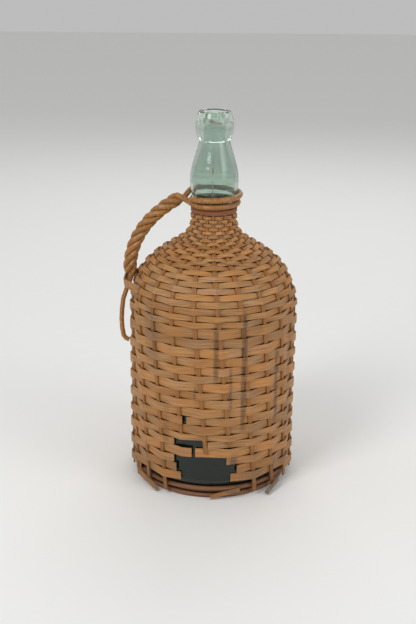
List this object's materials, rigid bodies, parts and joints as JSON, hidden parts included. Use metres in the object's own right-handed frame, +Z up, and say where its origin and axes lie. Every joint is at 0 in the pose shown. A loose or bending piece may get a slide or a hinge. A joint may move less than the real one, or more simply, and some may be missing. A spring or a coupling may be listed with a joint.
{
  "type": "splint covered demijohn",
  "caption": "Tall round glass demijohn with a slim neck, covered in plain woven wood splint, with a twisted rod handle from the neck to one shoulder; the cover is torn at the foot.",
  "frame": {"origin": "on the bottle axis, at the floor it stands on", "axes": "+Z up along the bottle axis, -Y the torn front, -X the handle side"},
  "size_m": [0.1977, 0.186, 0.4097],
  "materials": {
    "glass": "clear aqua green, darker where it is thick",
    "splint_wood": "dry split wood, weathered and stained",
    "stake_wood": "dry split wood, a little darker",
    "handle_wood": "peeled rod, worn smooth",
    "base_rod_wood": "peeled rod, stained",
    "bark": "split bark",
    "grey_wood": "grey dry twig"
  },
  "bodies": {
    "root": {"bark_binding": "bark", "base_laths_lower": "splint_wood", "base_laths_upper": "splint_wood", "foot_rod": "base_rod_wood", "glass_bottle": "glass", "grey_twig": "grey_wood", "handle_rod_1": "handle_wood", "handle_rod_2": "handle_wood", "handle_rod_3": "handle_wood", "handle_rod_4": "handle_wood", "handle_strap": "splint_wood", "hanging_splint": "splint_wood", "heel_rod_lower": "base_rod_wood", "heel_rod_upper": "base_rod_wood", "loose_splint": "splint_wood", "splint_01": "splint_wood", "splint_02": "splint_wood", "splint_03": "splint_wood", "splint_04": "splint_wood", "splint_05": "splint_wood", "splint_06": "splint_wood", "splint_07": "splint_wood", "splint_08": "splint_wood", "splint_09": "splint_wood", "splint_10": "splint_wood", "splint_11": "splint_wood", "splint_12": "splint_wood", "splint_13": "splint_wood", "splint_14": "splint_wood", "splint_15": "splint_wood", "splint_16": "splint_wood", "splint_17": "splint_wood", "splint_18": "splint_wood", "splint_19": "splint_wood", "splint_20": "splint_wood", "splint_21": "splint_wood", "splint_22": "splint_wood", "splint_23": "splint_wood", "splint_24": "splint_wood", "splint_25": "splint_wood", "splint_26": "splint_wood", "splint_27": "splint_wood", "splint_28": "splint_wood", "splint_29": "splint_wood", "splint_30": "splint_wood", "splint_31": "splint_wood", "splint_32": "splint_wood", "splint_33": "splint_wood", "splint_34": "splint_wood", "splint_35": "splint_wood", "splint_36": "splint_wood", "splint_37": "splint_wood", "splint_38": "splint_wood", "splint_39": "splint_wood", "splint_40": "splint_wood", "splint_41": "splint_wood", "splint_42": "splint_wood", "stakes": "stake_wood"}
  },
  "joints": []
}
